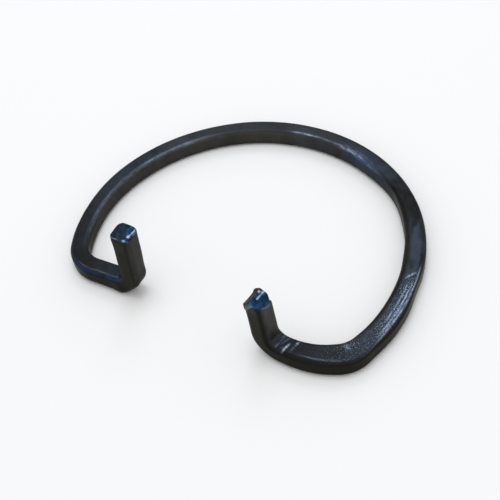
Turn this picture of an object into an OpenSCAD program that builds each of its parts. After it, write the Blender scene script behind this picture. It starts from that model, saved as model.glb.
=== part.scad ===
// Snap ring of square spring wire, bent from one length.
//
// The wire lies flat as an open ring. At each side of the mouth it turns inward as a leg,
// and the leg's end is bent up as a tang that pliers grip to squeeze the ring.
// The left tang was sheared off square. The right one has broken off short, on a slant.
//
// The origin is the centre of the round part, at half the wire's height.
// +Z points the way the tangs stand, and the mouth opens towards -Y.

/* [Wire] */
// Width of the wire, across the ring
wire_w = 5; // [3.5:0.1:5.6]
// Height of the wire, along the ring's axis
wire_h = 4.9; // [3.5:0.1:5.6]
// Radius of the wire's rolled corners
corner_r = 1.3; // [0.6:0.1:1.6]
// How much each new stretch is drawn down, on each face
draw_down = 0.01; // [0.005:0.005:0.04]

/* [Ring] */
// Outside diameter of the round part, which seats in the groove
ring_od = 89.5; // [84:0.5:96]
// Where the round part ends on the left, counted from +X
left_end_deg = 171; // [165:0.5:178]
// Where the round part ends on the right, counted from +X
right_end_deg = 7; // [2:0.5:14]

/* [Left end] */
// Radius of the tightened left side, along the wire's middle
left_side_r = 37.5; // [34:0.5:42]
// Turn of the left side
left_side_deg = 38; // [30:0.5:42]
// Radius of the bend into the left leg
left_bend_r = 8.3; // [5:0.1:10]
// Turn of the bend into the left leg
left_bend_deg = 62; // [50:0.5:70]
// Straight length of the left leg
left_leg_l = 7.1; // [5:0.1:12]
// Radius of the bend up into the left tang
left_foot_r = 5.2; // [4.2:0.1:6.5]
// Turn of the bend up into the left tang
left_foot_deg = 85.5; // [80:0.5:92]
// Straight length of the left tang
left_tang_l = 14.2; // [8:0.1:18]

/* [Right end] */
// Radius of the opened right side, along the wire's middle
right_side_r = 54; // [48:0.5:62]
// Turn of the right side
right_side_deg = 24.5; // [20:0.5:30]
// Radius of the bend into the right leg
right_bend_r = 7.2; // [6.5:0.1:8]
// Turn of the bend into the right leg
right_bend_deg = 45; // [40:0.5:50]
// How far the wire was pressed wider at that bend, on each side
swell = 0.45; // [0.2:0.05:0.6]
// Radius of the swelling's outer side, along its middle
swell_outer_r = 8.6; // [8:0.1:9.5]
// Radius of the swelling's inner side, along its middle
swell_inner_r = 13; // [12:0.5:15]
// Length of the swelling along the wire
swell_l = 17; // [14:0.5:20]
// Radius of the curved right leg
right_leg_r = 21.6; // [18:0.1:28]
// Turn of the right leg
right_leg_deg = 35; // [25:0.5:40]
// Radius of the bend up into the right tang
right_foot_r = 4.4; // [4.2:0.1:6.5]
// Turn of the bend up into the right tang
right_foot_deg = 85; // [80:0.5:92]
// Straight length of the right tang, to the lowest edge of the torn face
right_tang_l = 10.4; // [7:0.1:14]

/* [Tang ends] */
// Slope of the sheared face across the left tang
shear_slope_deg = 3; // [0:0.5:10]
// Slope of the face where the shear broke through
shear_break_deg = 17; // [12:0.5:30]
// How far the break-through face stands above the tang's stated length at mid-wire
shear_break_rise = 0.35; // [0.1:0.05:0.8]
// Rise of the torn face above the right tang's stated length, at mid-wire
torn_face_rise = 0.75; // [0.4:0.05:1.2]
// Fall of the torn face towards the ring
torn_face_fall_deg = 26.5; // [15:0.5:35]
// Fall of the torn face towards the inside of the ring
torn_face_in_deg = 8.5; // [0:0.5:15]
// Rise of the facet behind the torn face's ridge, at mid-wire
torn_back_rise = 1.1; // [0.8:0.05:1.5]
// Fall of that facet away from the ring
torn_back_fall_deg = 23; // [15:0.5:35]
// Depth of the step at the torn face's inner corner
torn_step_l = 2.6; // [1:0.1:3]
// How far the step reaches in from the wire's corner, on the diagonal
torn_step_w = 0.9; // [0.6:0.1:1.6]
// Depth of the facet at the torn face's outer corner
torn_corner_l = 3.4; // [1.5:0.1:4]
// Slope of that facet away from the middle of the mouth
torn_corner_out_deg = 75; // [65:1:80]
// Slope of that facet away from the ring
torn_corner_back_deg = 15; // [5:1:25]

/* [Hidden] */

// Radius of the round part along the wire's middle
ring_r = (ring_od - wire_w) / 2;
// How far each stretch runs on inside the one before it
lap = 0.05;
// Side of the blocks that cut the tangs' ends
block = 3 * max(wire_w, wire_h);
// Extra length of the tangs before their ends are cut
spare_l = block / 4;
// How much thinner the wire is than the round part, on each face
$drawn = 0;

module snap_ring() {
    color("dimgray") {
        round_part();
        from_round_part(left_end_deg)
            bend(left_side_r, left_side_deg)
            bend(left_bend_r, left_bend_deg)
            straight(left_leg_l)
            bend_up(left_foot_r, left_foot_deg)
            sheared_tang(left_tang_l);
        mirror([1, 0, 0])
            from_round_part(180 - right_end_deg)
            bend(right_side_r, right_side_deg)
            bend(right_bend_r, right_bend_deg, swell)
            bend(right_leg_r, right_leg_deg)
            bend_up(right_foot_r, right_foot_deg)
            torn_tang(right_tang_l);
    }
}

// The wire's cross-section: a rectangle with rounded corners, drawn down by $drawn
module section(across, up) {
    x = across / 2 - $drawn;
    y = up / 2 - $drawn;
    r = corner_r - $drawn;
    square([2 * (x - r), 2 * y], center = true);
    square([2 * x, 2 * (y - r)], center = true);
    for (sx = [-1, 1], sy = [-1, 1])
        translate([sx * (x - r), sy * (y - r)]) circle(r = r, $fn = 32);
}

// The angle that the lap takes up on an arc
function lap_deg(radius) = lap / radius * 180 / PI;

// The round part, anticlockwise from the right end to the left one, with a lap at each end
module round_part() {
    rotate([0, 0, right_end_deg - lap_deg(ring_r)])
        rotate_extrude(angle = left_end_deg - right_end_deg + 2 * lap_deg(ring_r), $fn = 240)
            translate([ring_r, 0]) section(wire_w, wire_h);
}

// Draws the next stretch of wire, a little thinner, so that it seats inside the last one
module next_stretch() {
    $drawn = $drawn + draw_down;
    children();
}

// Carries its children to an end of the round part: +X along the wire, +Y into the ring
module from_round_part(degrees) {
    rotate([0, 0, degrees])
        translate([ring_r, 0, 0])
            rotate([0, 0, 90])
                next_stretch() children();
}

// An arc that leaves the origin along +X and turns towards +Y, with a lap at its end
module arc(radius, degrees, across, up) {
    translate([0, radius, 0])
        rotate([0, 0, -90])
            rotate_extrude(angle = degrees + lap_deg(radius), $fn = 240)
                translate([radius, 0]) section(across, up);
}

// A length of straight wire along +X, without a lap
module wire(length) {
    rotate([90, 0, 90]) linear_extrude(length) section(wire_w, wire_h);
}

// A straight stretch, and its children from where it ends
module straight(length) {
    wire(length + lap);
    translate([length, 0, 0]) next_stretch() children();
}

// A bend in the ring's plane, towards +Y, and its children from where it ends.
// Where the wire was pressed, it swells out by wider on each side of the bend's middle.
module bend(radius, degrees, wider = 0) {
    arc(radius, degrees, wire_w, wire_h);
    if (wider > 0)
        translate([radius * sin(degrees / 2), radius * (1 - cos(degrees / 2)), 0])
            rotate([0, 0, degrees / 2]) {
                cheek(swell_outer_r, -wider, 1.5);
                cheek(swell_inner_r, wider, 2.5);
            }
    translate([radius * sin(degrees), radius * (1 - cos(degrees)), 0])
        rotate([0, 0, degrees])
            next_stretch() children();
}

// One side of a swelling: wire that is shifted across and bent through the swelling's length,
// drawn down a few steps so that only its side stands out
module cheek(radius, shift, steps) {
    $drawn = $drawn + steps * draw_down;
    half_deg = swell_l / 2 / radius * 180 / PI;
    translate([0, shift + radius, 0])
        rotate([0, 0, -90 - half_deg])
            rotate_extrude(angle = 2 * half_deg, $fn = 240)
                translate([radius, 0]) section(wire_w, wire_h);
}

// A bend out of the ring's plane, towards +Z, and its children from where it ends
module bend_up(radius, degrees) {
    rotate([90, 0, 0]) arc(radius, degrees, wire_h, wire_w);
    translate([radius * sin(degrees), 0, radius * (1 - cos(degrees))])
        rotate([0, -degrees, 0])
            next_stretch() children();
}

// What lies beyond a plane across the wire that rises along +Y and +Z by these angles
module beyond(distance, rise_y_deg, rise_z_deg) {
    translate([distance, 0, 0])
        rotate([0, rise_z_deg, -rise_y_deg])
            translate([0, -block / 2, -block / 2]) cube(block);
}

// The left tang: the shear's smooth face, and the face where it broke through
module sheared_tang(length) {
    difference() {
        wire(length + spare_l);
        beyond(length, shear_slope_deg, 0);
        beyond(length + shear_break_rise, 0, shear_break_deg);
    }
}

// The right tang: two torn facets that meet in a ridge, a step at the inner corner
// and a steep facet at the outer one
module torn_tang(length) {
    difference() {
        wire(length + spare_l);
        beyond(length + torn_face_rise, -torn_face_in_deg, -torn_face_fall_deg);
        beyond(length + torn_back_rise, 0, torn_back_fall_deg);
        translate([length - torn_step_l, wire_w / 2, wire_h / 2])
            rotate([45, 0, 0])
                translate([0, -torn_step_w, -block / 2]) cube(block);
        translate([length - torn_corner_l, -wire_w / 2, -wire_h / 2])
            beyond(0, torn_corner_out_deg, torn_corner_back_deg);
    }
}

snap_ring();
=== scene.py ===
"""Snap ring of square spring wire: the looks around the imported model, in metres, +Z up."""
import math

import bpy
from mathutils import Matrix, Vector, noise


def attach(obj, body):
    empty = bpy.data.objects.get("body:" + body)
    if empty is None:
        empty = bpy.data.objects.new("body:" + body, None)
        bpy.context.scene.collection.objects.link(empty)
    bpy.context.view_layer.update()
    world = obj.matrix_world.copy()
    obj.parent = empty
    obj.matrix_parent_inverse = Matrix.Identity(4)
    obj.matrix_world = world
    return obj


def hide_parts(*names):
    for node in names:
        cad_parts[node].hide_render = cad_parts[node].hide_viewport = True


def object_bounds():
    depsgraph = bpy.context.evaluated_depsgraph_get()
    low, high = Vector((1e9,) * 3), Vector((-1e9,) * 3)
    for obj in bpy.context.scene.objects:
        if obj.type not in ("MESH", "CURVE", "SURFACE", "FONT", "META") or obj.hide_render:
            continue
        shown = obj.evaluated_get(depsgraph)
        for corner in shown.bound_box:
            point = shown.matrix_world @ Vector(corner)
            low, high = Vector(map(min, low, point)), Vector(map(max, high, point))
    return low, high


MM = 0.001

# The wire and its bends, as in the part's source
WIRE_W = 5.0
WIRE_H = 4.9
CORNER_R = 1.3
RING_R = 42.25
LEFT_END_DEG = 171.0
RIGHT_END_DEG = 7.0
LEFT = {"side_r": 37.5, "side_deg": 38.0, "bend_r": 8.3, "bend_deg": 62.0, "leg_l": 7.1,
        "foot_r": 5.2, "foot_deg": 85.5, "tang_l": 14.2}
RIGHT = {"side_r": 54.0, "side_deg": 24.5, "bend_r": 7.2, "bend_deg": 45.0, "leg_r": 21.6, "leg_deg": 35.0,
         "foot_r": 4.4, "foot_deg": 85.0, "tang_l": 10.4}

# The swelling at the right bend: height on each side, middle along the wire and half length
SWELL = 0.45
SWELL_AT = 195.5
SWELL_HALF = 5.6

# Hand bending's unevenness: middle along the wire, half length, side as inward and up, height outward
UNEVEN = (
    (140, 8, (1, 0), -0.65),
    (163, 5, (1, 0), 0.25),
    (184, 8, (-1, 0), 0.35),
    (172, 4, (-1, 0), -0.30),
    (193, 4, (-0.6, -0.8), -0.30),
    (199, 9, (1, 0), 0.35),
    (204, 5, (-0.7, -0.7), 0.20),
    (37, 10, (-1, 0), -0.30),
    (23, 6, (1, 0), -0.28),
    (216, 5, (-0.7, -0.7), 0.22),
    (229, 2, (-0.9, -0.3), 0.32),
    (193, 7, (-0.7, 0.7), -0.40),
    (6.5, 1.5, (-0.6, -0.8), 0.30),
    (3.6, 1.4, (0, -1), -0.25),
    (0.6, 2.2, (0, -1), 0.25),
    (-6, 5, (0, -1), 0.22),
    (-13, 2, (-0.7, 0.7), 0.20),
)

# The tangs' ends, as in the part's source: rises in mm along the tang, slopes in degrees
SHEAR_SLOPE_DEG = 3.0
SHEAR_BREAK_DEG = 17.0
SHEAR_BREAK_RISE = 0.35
TORN_FACE_RISE = 0.75
TORN_FACE_FALL_DEG = 26.5
TORN_FACE_IN_DEG = 8.5
TORN_BACK_RISE = 1.1
TORN_BACK_FALL_DEG = 23.0
TORN_STEP_W = 0.9

# The steep facet at the torn end's outer corner: its lowest corner, and its rise per mm inward and up
TORN_CORNER_DROP = 2.2
TORN_CORNER_AT = (-2.4, -2.1)
TORN_CORNER_RISE = (3.76, 1.04)

# How finely the mesh follows the wire: its steps along the wire, its cuts over each flat and each
# corner, the rings on a tang's end, and the narrow rounded rim round that end
STEP = 0.24
SIDE_CUTS = 8
CORNER_CUTS = 6
CAP_RINGS = 20
RIM = 0.08
RIM_SHRINK = 0.985
CAP_SHRINK = 0.96

# Where two faces of the mesh meet at more than this, their edge stays sharp
SHARP_DEG = 38

# The camera, as the photograph was taken
CAMERA_AZ = 35.6
CAMERA_EL = 47.57
CAMERA_ROLL = -9.7
CAMERA_DISTANCE = 0.21877
CAMERA_FOCAL_PX = 880.3
AIM_PX = (242.8, 244.33)
FRAME_PX = 500
SENSOR_MM = 36.0


# Small helpers

def bump(x, middle, width):
    """1 at the middle, and near 0 from about twice the width away."""
    return math.exp(-((x - middle) / width) ** 2)


def band(x, low, high, soft):
    """1 between low and high, with ends that fade over about soft."""
    return above(x, low, soft) * below(x, high, soft)


def above(x, low, soft):
    """1 above low, and it fades below it over about soft."""
    return (1 + math.tanh(2 * (x - low) / soft)) / 2


def below(x, high, soft):
    """1 below high, and it fades above it over about soft."""
    return (1 - math.tanh(2 * (x - high) / soft)) / 2


def wobble(x, y, z, scale, seed):
    """Smooth noise between about -1 and 1, another one for each seed."""
    return noise.noise(Vector((x, y, z)) * scale + Vector((seed * 7.3, seed * 3.1, seed * 5.7)))


def soft_min(values, k):
    """The lowest of the values, with the meeting lines rounded over about k."""
    low = min(values)
    return low - k * math.log(sum(math.exp((low - v) / k) for v in values))


# The path

class Walker:
    """Walks along the wire's middle, and notes where it is: middle, heading, inward and up, in mm."""

    def __init__(self, place, heading, inward):
        self.place, self.heading, self.inward, self.up = place, heading, inward, Vector((0, 0, 1))
        self.stops = [self.stop()]

    def stop(self):
        return (self.place.copy(), self.heading.copy(), self.inward.copy(), self.up.copy())

    def straight(self, length):
        start = self.place.copy()
        count = math.ceil(length / STEP)
        for i in range(1, count + 1):
            self.place = start + self.heading * (length * i / count)
            self.stops.append(self.stop())

    def turn(self, radius, degrees, side):
        """Turns towards side, which is 'inward' or 'up'."""
        start, heading, toward = self.place.copy(), self.heading.copy(), getattr(self, side).copy()
        total = math.radians(degrees)
        count = math.ceil(radius * total / STEP)
        for i in range(1, count + 1):
            a = total * i / count
            self.place = start + heading * (radius * math.sin(a)) + toward * (radius * (1 - math.cos(a)))
            self.heading = heading * math.cos(a) + toward * math.sin(a)
            setattr(self, side, toward * math.cos(a) - heading * math.sin(a))
            self.stops.append(self.stop())


def on_ring(degrees):
    a = math.radians(degrees)
    return Vector((math.cos(a), math.sin(a), 0))


def side_path(end_deg, sense, bends):
    """The stops from an end of the round part to the foot of the tang."""
    out = on_ring(end_deg)
    heading = Vector((-out.y, out.x, 0)) * sense
    walker = Walker(out * RING_R, heading, -out)
    walker.turn(bends["side_r"], bends["side_deg"], "inward")
    walker.turn(bends["bend_r"], bends["bend_deg"], "inward")
    if "leg_l" in bends:
        walker.straight(bends["leg_l"])
    else:
        walker.turn(bends["leg_r"], bends["leg_deg"], "inward")
    walker.turn(bends["foot_r"], bends["foot_deg"], "up")
    return walker.stops


def round_stops():
    """The round part's inner stops, from the right end to the left one."""
    sweep = LEFT_END_DEG - RIGHT_END_DEG
    count = math.ceil(RING_R * math.radians(sweep) / STEP)
    stops = []
    for i in range(1, count):
        out = on_ring(RIGHT_END_DEG + sweep * i / count)
        stops.append((out * RING_R, Vector((-out.y, out.x, 0)), -out, Vector((0, 0, 1))))
    return stops


# The cross-section

def outline():
    """Points round the section: inward and up in mm, then the outward direction the same way."""
    x, y = WIRE_W / 2 - CORNER_R, WIRE_H / 2 - CORNER_R
    corners = [(x, y, 0), (-x, y, 90), (-x, -y, 180), (x, -y, 270)]
    points = []
    for k, (cx, cy, start) in enumerate(corners):
        for i in range(CORNER_CUTS):
            a = math.radians(start + 90 * i / CORNER_CUTS)
            out_u, out_v = math.cos(a), math.sin(a)
            points.append((cx + CORNER_R * out_u, cy + CORNER_R * out_v, out_u, out_v))
        a = math.radians(start + 90)
        out_u, out_v = math.cos(a), math.sin(a)
        nx, ny, _ = corners[(k + 1) % 4]
        ax, ay = cx + CORNER_R * out_u, cy + CORNER_R * out_v
        bx, by = nx + CORNER_R * out_u, ny + CORNER_R * out_v
        for i in range(SIDE_CUTS):
            t = i / SIDE_CUTS
            points.append((ax + (bx - ax) * t, ay + (by - ay) * t, out_u, out_v))
    return points


def relief(s, nu, nv):
    """The surface's unevenness at a place, in mm, outward."""
    slow = wobble(s * 0.11, nu, nv, 0.9, 0)
    fine = wobble(s * 0.45, nu, nv, 1.4, 4)
    out = 0.035 * slow + 0.012 * fine
    for middle, half, (side_u, side_v), height in UNEVEN:
        facing = nu * side_u + nv * side_v
        if facing > 0 and abs(s - middle) < 3 * half:
            out += height * facing * bump(s, middle, half)
    return out


# The tangs' ends: how far the metal reaches along the tang, over the section

def slope(degrees):
    return math.tan(math.radians(degrees))


def sheared_height(u, v):
    smooth_face = LEFT["tang_l"] + u * slope(SHEAR_SLOPE_DEG)
    break_face = LEFT["tang_l"] + SHEAR_BREAK_RISE + v * slope(SHEAR_BREAK_DEG)
    rough = 0.06 * wobble(u, v, 0, 0.9, 1) + 0.03 * wobble(u, v, 0, 2.6, 2)
    return soft_min((smooth_face, break_face), 0.05) + rough


def torn_height(u, v):
    base = RIGHT["tang_l"]
    face = base + TORN_FACE_RISE - u * slope(TORN_FACE_IN_DEG) - v * slope(TORN_FACE_FALL_DEG)
    hollow = 1.3 * bump(u, 0.4, 1.7) * max((v - 0.5) / 1.9, 0) ** 2 + 0.12 * bump(v, 0.9, 0.8)
    back = base + TORN_BACK_RISE + v * slope(TORN_BACK_FALL_DEG)
    bite = band(u, -2.2, 1.7, 0.5) * below(v, -1.3, 0.9)
    (low_u, low_v), (rise_u, rise_v) = TORN_CORNER_AT, TORN_CORNER_RISE
    corner_face = base - TORN_CORNER_DROP + rise_u * (u - low_u) + rise_v * (v - low_v)
    rough = 0.10 * wobble(u, v, 0, 0.7, 3) + 0.05 * wobble(u, v, 0, 2.2, 4)
    notch = 0.45 * bump(u, 2.2, 0.25) * bump(v, -1.2, 0.35)
    top = soft_min((face - hollow, back - bite, corner_face), 0.06) + rough - notch
    step_side = ((u - WIRE_W / 2) + (v - WIRE_H / 2)) / math.sqrt(2) + TORN_STEP_W
    step = base - min(2.55 + 4.5 * (u - v), 4.0) + 0.08 * wobble(u, v, 0, 1.5, 5)
    share = min(max(step_side / 0.2 + 0.5, 0), 1)
    return top + (min(step, top) - top) * share


# The finish, painted on the mesh: shares of each one, by place. Next to the steel's own wear, marks and
# smudges, these shares paint painted highlights, painted reflections and painted shade into the colour.
# Along the wire, s counts in mm from the left tang's foot. Over the section, u is inward and v up.

PAINTS = ("top", "tint_and_highlight", "pale", "worn", "gleam", "smudge", "blue_reflection", "cut", "lip")


def stretch(start, end, soft):
    return lambda s: band(s, start, end, soft)


def spot(middle, half):
    return lambda s: bump(s, middle, half)


# Farther along the wire than the right tang's end
PAST_END = 999

# Over the whole flat top: finish, share, where along the wire. The bluish tint rows are partly painted
# reflection. The lightened spot at 215.5 is painted reflection. The darkening at 16 to 24 is painted shade
# in the left bend's crease. The deep bluish rows are painted reflection.
TOPS = (
    ("tint_and_highlight", 1.0, stretch(152, 168, 3)),
    ("tint_and_highlight", 0.7, stretch(168, 195, 4)),
    ("tint_and_highlight", 0.75, stretch(40, 92, 14)),
    ("tint_and_highlight", 0.4, stretch(1, 14, 3)),
    ("tint_and_highlight", 0.5, spot(134, 5)),
    ("pale", 0.29, spot(215.5, 2.0)),
    ("worn", 0.18, stretch(189, 203, 4)),
    ("smudge", 0.35, stretch(16, 24, 3)),
    ("smudge", 0.5, stretch(197, 215, 3)),
    ("smudge", 0.5, spot(140, 4)),
    ("blue_reflection", 0.12, stretch(211, 215, 1.5)),
    ("blue_reflection", 0.08, stretch(0, 12, 3)),
)

# Lines and spots on the flat top: finish, share, u and half width, where along the wire. The bright lines
# are painted highlights, the worn spot is real wear, and the darkening along u = -2.2 is painted shade on
# the top's outer part.
LINES = (
    ("worn", 1.0, 1.2, 0.7, spot(195.2, 1.8)),
    ("gleam", 0.65, -1.2, 0.16, stretch(172, 188, 2)),
    ("gleam", 0.45, -0.3, 0.14, stretch(173, 185, 2)),
    ("gleam", 0.12, 1.2, 0.6, stretch(118, 128, 5)),
    ("smudge", 0.35, -2.2, 1.0, stretch(24, 66, 5)),
    ("smudge", 0.35, -2.2, 1.0, stretch(112, 140, 5)),
    ("smudge", 1.0, -0.7, 1.7, spot(148, 4)),
    ("smudge", 0.6, 0.4, 0.7, spot(167, 1.3)),
)

# Along the rounded upper edges: finish, share, side, lean from upright and half width in degrees, where
# along the wire. All of these are painted light: the bluish bands and bright lines are painted highlights
# and painted reflections, and the darkening is painted shade on the tangs' corners and on the inner edge at
# 80 to 106.
EDGES = (
    ("tint_and_highlight", 1.0, "inner", 42, 30, stretch(26, 72, 9)),
    ("tint_and_highlight", 1.0, "inner", 42, 30, stretch(117, 134, 5)),
    ("tint_and_highlight", 0.7, "outer", 38, 24, stretch(17, 27, 4)),
    ("gleam", 0.5, "outer", 20, 5, stretch(3, 18, 2.5)),
    ("gleam", 0.9, "outer", 30, 9, stretch(168, 188, 3)),
    ("gleam", 0.5, "outer", 26, 5, spot(189, 3)),
    ("gleam", 0.30, "outer", 20, 5, stretch(199, 206, 2)),
    ("gleam", 0.12, "inner", 36, 18, stretch(26, 74, 8)),
    ("gleam", 0.16, "inner", 30, 8, spot(40, 6)),
    ("gleam", 0.28, "inner", 26, 9, spot(60, 4.5)),
    ("gleam", 0.25, "inner", 38, 10, spot(71.5, 2.6)),
    ("gleam", 0.26, "inner", 17, 10, stretch(102, 117, 4)),
    ("gleam", 0.45, "inner", 17, 10, spot(106.5, 3.5)),
    ("gleam", 0.6, "inner", 27, 15, stretch(117, 125, 3)),
    ("gleam", 0.24, "inner", 50, 25, stretch(124, 133, 4)),
    ("smudge", 0.8, "outer", 45, 26, stretch(216, PAST_END, 3)),
    ("smudge", 0.7, "inner", 28, 24, stretch(80, 106, 6)),
    ("blue_reflection", 0.22, "outer", 45, 25, stretch(16, 27, 4)),
    ("blue_reflection", 0.55, "inner", 50, 34, stretch(121, 132, 3)),
)

# How far down the sides the edges' painted highlights, reflections and shade reach, and a lean that stands
# for not on this edge
EDGE_LOW = -0.2
OFF_EDGE = -90


def line_on(u, v, start, end, width):
    """1 on a short straight line over a tang's end, from start to end."""
    line = Vector(end) - Vector(start)
    to_place = Vector((u, v)) - Vector(start)
    share = min(max(to_place.dot(line) / line.length_squared, 0), 1)
    return bump((to_place - line * share).length, 0, width)


def leans(nu, nv):
    """How far the surface leans from upright on each upper edge, in degrees."""
    seen = nv > EDGE_LOW
    outer = math.degrees(math.atan2(-nu, nv)) if seen and nu <= 0 else OFF_EDGE
    inner = math.degrees(math.atan2(nu, nv)) if seen and nu >= 0 else OFF_EDGE
    return {"outer": outer, "inner": inner}


def marks(s, u, nv, top):
    """Bright marks: the tool's, one beside the swelling, the nicks and the scratches by the right tang."""
    tool_line = 168.4 + 0.75 * (u + 2) + 0.12 * (u + 2) ** 2
    out = 0.8 * bump(s, tool_line, 0.25) * band(u, -1.4, 0.6, 0.4)
    out += 0.25 * bump(s, 195.6 + 0.4 * u, 0.5) * bump(u, 1.2, 0.7) * top
    out += 1.4 * bump(s, 209.9 - 0.2 * u, 0.17) * band(u, -2.0, 0.3, 0.4) * above(nv, 0.5, 0.2)
    second = 0.8 * band(u, 0.6, 1.9, 0.4) + 0.15 * band(u, -1.4, 0.3, 0.5)
    out += second * top * bump(s, 208.5 - 0.25 * u, 0.22)
    out += 0.35 * top * band(s, 210.5, 214, 0.8) * max(wobble(s + 0.35 * u, 0.2 * u, 0, 2.6, 12), 0)
    return out


def wear(s, u):
    """The worn right side's specks: more towards the outer edge, and patchy."""
    outward = 0.35 * above(-u, -1.0, 0.8) + 0.4 * above(-u, 0.2, 1.2)
    return band(s, 170, 189, 4) * (0.25 + outward + 0.5 * wobble(s, u, 0, 0.35, 11))


def paint_skin(s, u, nu, nv):
    """Shares of each finish on the wire's drawn surface, with painted highlights, painted reflections and
    painted shade among them.
    """
    # The top's share picks the lit top colour over the sides' painted shade. Along the inner edge at 142 to
    # 190 it gives way to the side colour, a strip of painted shade.
    top = above(nv, 0.75, 0.3) * (1 - 0.9 * above(u, 1.1, 0.5) * band(s, 142, 190, 6))
    inner_face, lower_face = above(nu, 0.6, 0.3), above(-nv, 0.6, 0.3)
    lean = leans(nu, nv)
    paint = dict.fromkeys(PAINTS, 0.0)
    paint["top"] = top
    for finish, share, along in TOPS:
        paint[finish] += share * top * along(s)
    for finish, share, across, half, along in LINES:
        paint[finish] += share * top * bump(u, across, half) * along(s)
    for finish, share, side, tilt, half, along in EDGES:
        paint[finish] += share * bump(lean[side], tilt, half) * along(s)

    # Painted reflection: the inner walls are lightened and cooled, and the back's upper faces and the tangs'
    # faces are lightened, as if they caught more light.
    paint["tint_and_highlight"] += 0.6 * inner_face * band(s, 104, 152, 6)
    paint["pale"] += inner_face * (0.36 * band(s, 32, 106, 9) + 0.18 * band(s, 106, 128, 9))
    paint["pale"] += 0.12 * inner_face * bump(s, 164, 12)
    paint["pale"] += above(nv, 0.8, 0.25) * above(s, 217.5, 1.5)
    paint["pale"] += 0.13 * above(nv, 0.4, 0.3) * band(s, 64, 113, 8)
    paint["pale"] += 0.30 * lower_face * below(s, 0, 2)
    paint["worn"] += top * wear(s, u)
    paint["gleam"] += marks(s, u, nv, top)
    paint["smudge"] += 1.5 * top * band(s, 138, 168, 4) * max(wobble(0.45 * s, u, 0, 0.9, 31), 0)
    # A painted bluish reflection along the left leg's outer edge, patchy.
    bluish_patchiness = 0.75 + 0.7 * wobble(s, 0.6 * u, 0, 0.55, 41)
    paint["blue_reflection"] += bluish_patchiness * bump(lean["outer"], 54, 17) * band(s, 2.2, 18, 2)
    return paint


def paint_sheared(u, v):
    """Shares of each finish on the left tang's face: its bright streak and dots are painted highlights, the
    light line along the lower rim is a painted highlight, and the colour of the break is a painted
    reflection.
    """
    # Painted highlights: a bright streak and dots over the break.
    gleam = line_on(u, v, (-0.6, -1.6), (1.8, -1.9), 0.15) * (0.55 + 1.2 * wobble(u, v, 0, 2.2, 21))
    gleam += 1.2 * bump(u, -0.6, 0.32) * bump(v, -1.6, 0.26)
    gleam += 0.9 * bump(u, -2.05, 0.22) * bump(v, -1.2, 0.26)
    gleam += 0.35 * bump(u, -2.0, 0.2) * bump(v, -2.2, 0.22)
    gleam += 0.3 * bump(u, -2.3, 0.12) * band(v, 0.2, 2.2, 0.4)
    # Darker over part of the broken face.
    smudge = above(v - 0.5 * u, -0.7, 1.4)
    # A painted highlight along the lower rim.
    lip = 0.6 * bump(v, -2.3, 0.13) * above(u, 0.2, 0.6)
    return {"cut": 1.0, "gleam": gleam, "smudge": smudge, "lip": lip}


def paint_torn(u, v):
    """Shares of each finish on the right tang's broken end: painted highlights in a streak, dots and light
    lines along the rims, and a painted reflection that lightens the olive facet.
    """
    dip = RIGHT["tang_l"] - 0.3 - torn_height(u, v)
    low_corner = above(dip, 0.0, 0.5) * above(-u, 1.3, 0.3) * above(-v, -0.6, 0.4)
    step = above((u + v - (WIRE_W + WIRE_H) / 2) / math.sqrt(2) + 0.75, 0.0, 0.15)
    olive = above(-v, 0.45, 0.5)
    # Painted highlights: a streak, brighter in two places, and two dots over the break.
    brighter = bump(u, -0.1, 0.7) + bump(u, 2.1, 0.4)
    gleam = line_on(u, v, (-0.4, 0.42), (2.3, 0.26), 0.12) * (0.5 + brighter)
    gleam += bump(u, 1.5, 0.28) * bump(v, -0.35, 0.25)
    gleam += 0.7 * bump(u, 2.0, 0.25) * bump(v, 0.2, 0.2)
    # Painted highlights along the rims.
    lip = 0.8 * bump(v, 2.4, 0.16) * band(u, -2.6, 1.2, 0.5)
    lip += 0.9 * bump(u, -2.4, 0.2) * band(v, -2.2, 0.9, 0.4)
    plain = max(olive, step, 0.9 * low_corner)
    # The olive facet is lightened by a painted reflection.
    return {"cut": 1 - plain, "gleam": gleam * (1 - step), "lip": lip * (1 - step),
            "pale": 0.41 * olive, "top": 0.4 * plain}


# The wire's mesh

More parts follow.
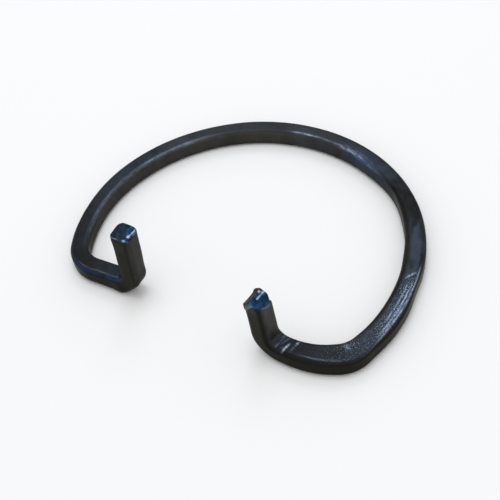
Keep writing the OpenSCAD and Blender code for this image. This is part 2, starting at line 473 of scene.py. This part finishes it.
def build_wire():
    left = side_path(LEFT_END_DEG, 1, LEFT)
    right = side_path(RIGHT_END_DEG, -1, RIGHT)
    section = outline()
    count = len(section)
    flat = WIRE_W / 2 - CORNER_R
    stops = list(reversed(left)) + list(reversed(round_stops())) + right
    spans = [0.0]
    for (before, *_), (after, *_) in zip(stops, stops[1:]):
        spans.append(spans[-1] + (after - before).length)

    def skin_ring(stop, shifts, spots):
        """A ring of points on the drawn surface: shifts run along the wire, spots are its distances."""
        place, heading, inward, up = stop
        ring = []
        for (u, v, nu, nv), shift, s in zip(section, shifts, spots):
            out = relief(s, nu, nv)
            wide = u + min(max(u / flat, -1), 1) * SWELL * bump(s, SWELL_AT, SWELL_HALF) + nu * out
            point = place + heading * shift + inward * wide + up * (v + nv * out)
            ring.append((point, s, paint_skin(s, u, nu, nv)))
        return ring

    def tang_rings(foot, height, s_foot, sense):
        """The tang's wall from its foot up to the cut."""
        steps = math.ceil(height(0, 0) / STEP)
        tops = [height(u, v) - RIM for u, v, _, _ in section]
        rings = []
        for i in range(1, steps + 1):
            shifts = [top * i / steps for top in tops]
            rings.append(skin_ring(foot, shifts, [s_foot + sense * shift for shift in shifts]))
        return rings

    def cap_rings(foot, height, s_end, sense, painter):
        """The cut face: a narrow rounded rim, then rings that close in on the middle."""
        place, heading, inward, up = foot
        rings = []
        for k in range(CAP_RINGS):
            shrink = RIM_SHRINK if k == 0 else CAP_SHRINK * (CAP_RINGS + 1 - k) / CAP_RINGS
            ring = []
            for u, v, nu, nv in section:
                cu, cv = u * shrink, v * shrink
                out = relief(s_end, nu, nv) * shrink
                rise = height(cu, cv) - (RIM / 3 if k == 0 else 0)
                point = place + heading * rise + inward * (cu + nu * out) + up * (cv + nv * out)
                ring.append((point, s_end + sense * (rise - height(0, 0)), painter(cu, cv)))
            rings.append(ring)
        return rings

    left_foot, right_foot = left[-1], right[-1]
    left_end, right_end = -sheared_height(0, 0), spans[-1] + torn_height(0, 0)
    rings = list(reversed(cap_rings(left_foot, sheared_height, left_end, -1, paint_sheared)))
    rings += list(reversed(tang_rings(left_foot, sheared_height, 0.0, -1)))
    rings += [skin_ring(stop, [0.0] * count, [s] * count) for stop, s in zip(stops, spans)]
    rings += tang_rings(right_foot, torn_height, spans[-1], 1)
    rings += cap_rings(right_foot, torn_height, right_end, 1, paint_torn)

    perimeter = [0.0]
    for (u0, v0, _, _), (u1, v1, _, _) in zip(section, section[1:]):
        perimeter.append(perimeter[-1] + math.hypot(u1 - u0, v1 - v0))
    verts, faces = [], []
    layers = {name: [] for name in ("along", "around") + PAINTS}

    def add(point, s, around, paint):
        verts.append(point * MM)
        layers["along"].append(s)
        layers["around"].append(around)
        for name in PAINTS:
            layers[name].append(min(max(paint.get(name, 0.0), 0.0), 1.0))

    for ring in rings:
        for (point, s, paint), around in zip(ring, perimeter):
            add(point, s, around, paint)
    for i in range(len(rings) - 1):
        for j in range(count):
            k = (j + 1) % count
            faces.append((i * count + j, i * count + k, (i + 1) * count + k, (i + 1) * count + j))
    place, heading, _, _ = left_foot
    add(place + heading * sheared_height(0, 0), left_end, 0.0, paint_sheared(0, 0))
    faces += [((j + 1) % count, j, len(verts) - 1) for j in range(count)]
    place, heading, _, _ = right_foot
    add(place + heading * torn_height(0, 0), right_end, 0.0, paint_torn(0, 0))
    last = (len(rings) - 1) * count
    faces += [(last + j, last + (j + 1) % count, len(verts) - 1) for j in range(count)]

    mesh = bpy.data.meshes.new("wire")
    mesh.from_pydata(verts, [], faces)
    mesh.validate()
    for name, values in layers.items():
        layer = mesh.attributes.new(name, "FLOAT", "POINT")
        layer.data.foreach_set("value", values)
    mesh.shade_smooth()
    mesh.set_sharp_from_angle(angle=math.radians(SHARP_DEG))
    return mesh


# Materials

class Nodes:
    """Short calls that build a node tree."""

    def __init__(self, tree):
        self.tree = tree
        tree.nodes.clear()

    def put(self, node, index, value):
        if isinstance(value, bpy.types.NodeSocket):
            self.tree.links.new(value, node.inputs[index])
        else:
            node.inputs[index].default_value = value

    def add(self, kind, inputs=None, **settings):
        node = self.tree.nodes.new(kind)
        for name, value in settings.items():
            setattr(node, name, value)
        for name, value in (inputs or {}).items():
            self.put(node, name, value)
        return node

    def math(self, operation, a, b, clamp=False):
        return self.add("ShaderNodeMath", {0: a, 1: b}, operation=operation, use_clamp=clamp).outputs[0]

    def times(self, a, b):
        return self.math("MULTIPLY", a, b)

    def plus(self, a, b):
        return self.math("ADD", a, b)

    def ramp(self, value, low, high):
        """0 at low and 1 at high, and no further."""
        return self.add("ShaderNodeMapRange", {"Value": value, "From Min": low, "From Max": high}).outputs[0]

    def mix(self, share, a, b):
        node = self.add("ShaderNodeMix", data_type="RGBA")
        for index, value in ((0, share), (6, a), (7, b)):
            self.put(node, index, value)
        return node.outputs[2]

    def noise(self, vector, scale, detail, rough):
        inputs = {"Vector": vector, "Scale": scale, "Detail": detail, "Roughness": rough}
        return self.add("ShaderNodeTexNoise", inputs).outputs["Fac"]

    def attribute(self, name):
        return self.add("ShaderNodeAttribute", attribute_name=name).outputs["Fac"]


# The steel's colours, linear. Where there are two, the mottle runs between them. The sides' colour is a
# darker copy of the top's, painted shade, and the top's is the lit copy.
SHADED_SIDE_STEEL = ((0.0105, 0.0100, 0.0078, 1), (0.0180, 0.0172, 0.0135, 1))
LIT_TOP_STEEL = ((0.0130, 0.0138, 0.0155, 1), (0.0225, 0.0245, 0.0280, 1))
# The broken ends' dark bluish colour is a painted reflection, mottled by grain, and darker over part of the
# face.
BROKEN_STEEL_BLUE_REFLECTION = ((0.006, 0.014, 0.028, 1), (0.017, 0.057, 0.132, 1))
BROKEN_DARK_PATCH = (0.017, 0.021, 0.026, 1)
# A bluish lighter tint: partly the steel's own, and partly painted reflection and painted highlight along
# the edges and inner walls.
BLUISH_TINT_AND_HIGHLIGHT = (0.036, 0.046, 0.062, 1)
# Painted reflection: a light tone that lightens faces as if they caught more light.
LIGHTENING_REFLECTION = (0.104, 0.102, 0.094, 1)
# Dark smudges, and painted shade in the left bend's crease, on the top's outer part at the back, on the
# inner edge at 80 to 106 and on the tangs' corners.
DARK_SMUDGE_AND_SHADE = (0.008, 0.008, 0.008, 1)
STREAK = (0.045, 0.052, 0.062, 1)
# A painted bluish reflection.
BLUE_REFLECTION_COLOUR = (0.013, 0.046, 0.145, 1)
SPECK = (0.25, 0.31, 0.40, 1)
PIT = (0.008, 0.009, 0.011, 1)
# Painted highlight along the broken ends' rims.
RIM_HIGHLIGHT = (0.14, 0.19, 0.20, 1)
# Bright steel in the real marks, and painted highlights.
BARE_MARK_AND_HIGHLIGHT = (0.38, 0.48, 0.64, 1)

# The patterns' cells per mm: along the wire, then around it
DRAWN_STREAKS = (0.09, 2.2)
SCRATCHES = (0.5, 4.0)
SPECKS = (2.6, 5.4)


def black_steel():
    material = bpy.data.materials.new("black_spring_steel")
    material.use_nodes = True
    n = Nodes(material.node_tree)
    top, tint_and_highlight, pale, worn, gleam, smudge, blue_reflection, cut, lip = (n.attribute(name) for name in PAINTS)
    place = n.add("ShaderNodeTexCoord").outputs["Object"]
    along, around = n.attribute("along"), n.attribute("around")

    def on_wire(scales):
        """A vector that runs along and around the wire."""
        inputs = {"X": n.times(along, scales[0]), "Y": n.times(around, scales[1])}
        return n.add("ShaderNodeCombineXYZ", inputs).outputs[0]

    streaks = n.noise(on_wire(DRAWN_STREAKS), 1.0, 4.0, 0.6)
    scratches = n.noise(on_wire(SCRATCHES), 1.0, 3.0, 0.6)
    specks = n.noise(on_wire(SPECKS), 1.0, 2.0, 0.5)
    blotch = n.noise(place, 170.0, 6.0, 0.72)
    grain = n.noise(place, 2400.0, 2.0, 0.6)
    torn_grain = n.noise(place, 900.0, 3.0, 0.6)

    mottle = n.ramp(blotch, 0.3, 0.7)
    # The sides take the darker copy of the steel, painted shade, and the top takes the lit copy.
    steel = n.mix(top, n.mix(mottle, *SHADED_SIDE_STEEL), n.mix(mottle, *LIT_TOP_STEEL))
    # The bluish tint, partly painted reflection and painted highlight.
    steel = n.mix(n.times(tint_and_highlight, n.ramp(blotch, 0.2, 0.75)), steel, BLUISH_TINT_AND_HIGHLIGHT)
    # Painted reflection that lightens some faces.
    steel = n.mix(n.times(pale, n.ramp(blotch, 0.0, 0.6)), steel, LIGHTENING_REFLECTION)
    # Smudges and painted shade.
    steel = n.mix(n.times(smudge, 0.7), steel, DARK_SMUDGE_AND_SHADE)
    steel = n.mix(n.times(n.ramp(streaks, 0.55, 0.8), 0.2), steel, STREAK)
    # Painted bluish reflection.
    steel = n.mix(n.times(blue_reflection, n.ramp(blotch, 0.25, 0.6)), steel, BLUE_REFLECTION_COLOUR)
    steel = n.mix(n.times(worn, n.ramp(specks, 0.57, 0.65)), steel, SPECK)
    steel = n.mix(n.times(worn, n.ramp(specks, 0.50, 0.36)), steel, PIT)
    # The broken ends: a painted bluish reflection, mottled, and darker in part.
    broken = n.mix(n.ramp(torn_grain, 0.35, 0.65), *BROKEN_STEEL_BLUE_REFLECTION)
    broken = n.mix(n.times(smudge, 0.8), broken, BROKEN_DARK_PATCH)
    steel = n.mix(cut, steel, broken)
    # Painted highlight along the rims.
    steel = n.mix(n.times(lip, 0.8), steel, RIM_HIGHLIGHT)
    # Real marks and painted highlights, broken into dashes by scratches, in bright steel.
    gaps = n.plus(0.7, n.times(n.ramp(specks, 0.38, 0.56), 0.45))
    dashes = n.times(n.ramp(scratches, 0.37, 0.60), gaps)
    bright_and_highlight = n.times(gleam, n.plus(n.times(cut, 0.6), dashes))
    steel = n.mix(n.math("MINIMUM", bright_and_highlight, 1.0), steel, BARE_MARK_AND_HIGHLIGHT)

    rough = n.plus(0.27, n.times(blotch, 0.2))
    rough = n.math("SUBTRACT", rough, n.times(cut, 0.20))
    rough = n.plus(rough, n.times(smudge, 0.08))
    rough = n.plus(rough, n.times(pale, 0.2))
    height = n.plus(n.times(grain, n.plus(0.5, worn)), n.times(streaks, 0.6))
    relief_node = n.add("ShaderNodeBump", {"Height": height, "Distance": 0.00003, "Strength": 0.6})
    shader = n.add("ShaderNodeBsdfPrincipled", {
        "Base Color": steel, "Metallic": 1.0, "IOR": 1.5, "Specular Tint": (0.7, 0.7, 0.68, 1),
        "Roughness": rough, "Normal": relief_node.outputs[0]})
    out = n.add("ShaderNodeOutputMaterial")
    n.tree.links.new(shader.outputs[0], out.inputs["Surface"])
    return material


# The floor's colour as it lights the ring, and as the camera and the steel see it
FLOOR_LIT = (0.93, 0.93, 0.93, 1)
FLOOR_SEEN = (0.99, 0.99, 0.99, 1)


def floor_material():
    material = bpy.data.materials.new("pale_floor")
    material.use_nodes = True
    n = Nodes(material.node_tree)
    path = n.add("ShaderNodeLightPath")
    seen = n.math("ADD", path.outputs["Is Camera Ray"], path.outputs["Is Glossy Ray"], clamp=True)
    colour = n.mix(seen, FLOOR_LIT, FLOOR_SEEN)
    shader = n.add("ShaderNodeBsdfPrincipled", {
        "Base Color": colour, "Roughness": 0.9, "Specular IOR Level": 0.1})
    out = n.add("ShaderNodeOutputMaterial")
    n.tree.links.new(shader.outputs[0], out.inputs["Surface"])
    return material


# The set

FLOOR_HALF = 3.0

# The world's strength as it lights the ring, and as the camera and the steel see it
WORLD_LIT = 0.66
WORLD_SEEN = 1.0

# The lamps: name, direction from the ring, distance, side, radiance and colour
LAMPS = (
    ("overhead", (-0.05, 0.05, 1.0), 0.8, 0.34, 5.0, (0.96, 0.98, 1.0)),
    ("sky_window", (-0.22, 0.60, 0.77), 0.9, 0.32, 2.0, (0.72, 0.86, 1.0)),
)


def build_floor(low):
    half = FLOOR_HALF
    corners = [(-half, -half, low), (half, -half, low), (half, half, low), (-half, half, low)]
    mesh = bpy.data.meshes.new("floor")
    mesh.from_pydata(corners, [], [(0, 1, 2, 3)])
    floor = bpy.data.objects.new("floor", mesh)
    bpy.context.scene.collection.objects.link(floor)
    mesh.materials.append(floor_material())


def build_camera():
    a, e, r = (math.radians(v) for v in (CAMERA_AZ, CAMERA_EL, CAMERA_ROLL))
    back = Vector((math.sin(a) * math.cos(e), -math.cos(a) * math.cos(e), math.sin(e)))
    level = Vector((math.cos(a), math.sin(a), 0))
    upright = back.cross(level)
    right = level * math.cos(r) + upright * math.sin(r)
    up = upright * math.cos(r) - level * math.sin(r)
    half = FRAME_PX / 2
    ray = (-back * CAMERA_FOCAL_PX + right * (AIM_PX[0] - half) - up * (AIM_PX[1] - half)).normalized()
    data = bpy.data.cameras.new("camera")
    data.sensor_width = SENSOR_MM
    data.lens = CAMERA_FOCAL_PX / FRAME_PX * SENSOR_MM
    data.clip_start = 0.01
    camera = bpy.data.objects.new("camera", data)
    turn = Matrix((right, up, back)).transposed().to_4x4()
    camera.matrix_world = Matrix.Translation(-ray * CAMERA_DISTANCE) @ turn
    bpy.context.scene.collection.objects.link(camera)
    bpy.context.scene.camera = camera


def area_lamp(name, direction, distance, size, radiance, color):
    """A square lamp that looks at the ring, of a given radiance."""
    data = bpy.data.lights.new(name, "AREA")
    data.shape = "SQUARE"
    data.size = size
    data.energy = radiance * math.pi * size * size
    data.color = color
    lamp = bpy.data.objects.new(name, data)
    place = Vector(direction).normalized() * distance
    lamp.matrix_world = Matrix.Translation(place) @ place.to_track_quat("Z", "Y").to_matrix().to_4x4()
    bpy.context.scene.collection.objects.link(lamp)


def build_world():
    world = bpy.data.worlds.new("world")
    bpy.context.scene.world = world
    world.use_nodes = True
    n = Nodes(world.node_tree)
    path = n.add("ShaderNodeLightPath")
    seen = n.plus(path.outputs["Is Camera Ray"], path.outputs["Is Transmission Ray"])
    seen = n.math("ADD", seen, path.outputs["Is Glossy Ray"], clamp=True)
    plain = n.add("ShaderNodeBackground", {"Color": (1, 1, 1, 1), "Strength": WORLD_LIT})
    white = n.add("ShaderNodeBackground", {"Color": (1, 1, 1, 1), "Strength": WORLD_SEEN})
    both = n.add("ShaderNodeMixShader", {0: seen})
    n.put(both, 1, plain.outputs[0])
    n.put(both, 2, white.outputs[0])
    out = n.add("ShaderNodeOutputWorld")
    n.put(out, "Surface", both.outputs[0])


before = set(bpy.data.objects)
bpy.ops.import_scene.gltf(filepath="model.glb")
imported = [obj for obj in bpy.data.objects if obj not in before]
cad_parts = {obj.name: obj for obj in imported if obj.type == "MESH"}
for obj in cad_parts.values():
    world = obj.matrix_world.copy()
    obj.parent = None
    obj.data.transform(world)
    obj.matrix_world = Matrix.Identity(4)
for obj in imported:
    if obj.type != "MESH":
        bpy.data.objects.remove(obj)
cad_bounds = [list(corner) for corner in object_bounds()]
bpy.context.scene.view_settings.view_transform = "Standard"

ring_mesh = build_wire()
ring = bpy.data.objects.new("spring_wire", ring_mesh)
bpy.context.scene.collection.objects.link(ring)
ring_mesh.materials.append(black_steel())
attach(ring, "root")
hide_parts("snap_ring")

build_floor(cad_bounds[0][2])
build_world()
for lamp_facts in LAMPS:
    area_lamp(*lamp_facts)
build_camera()
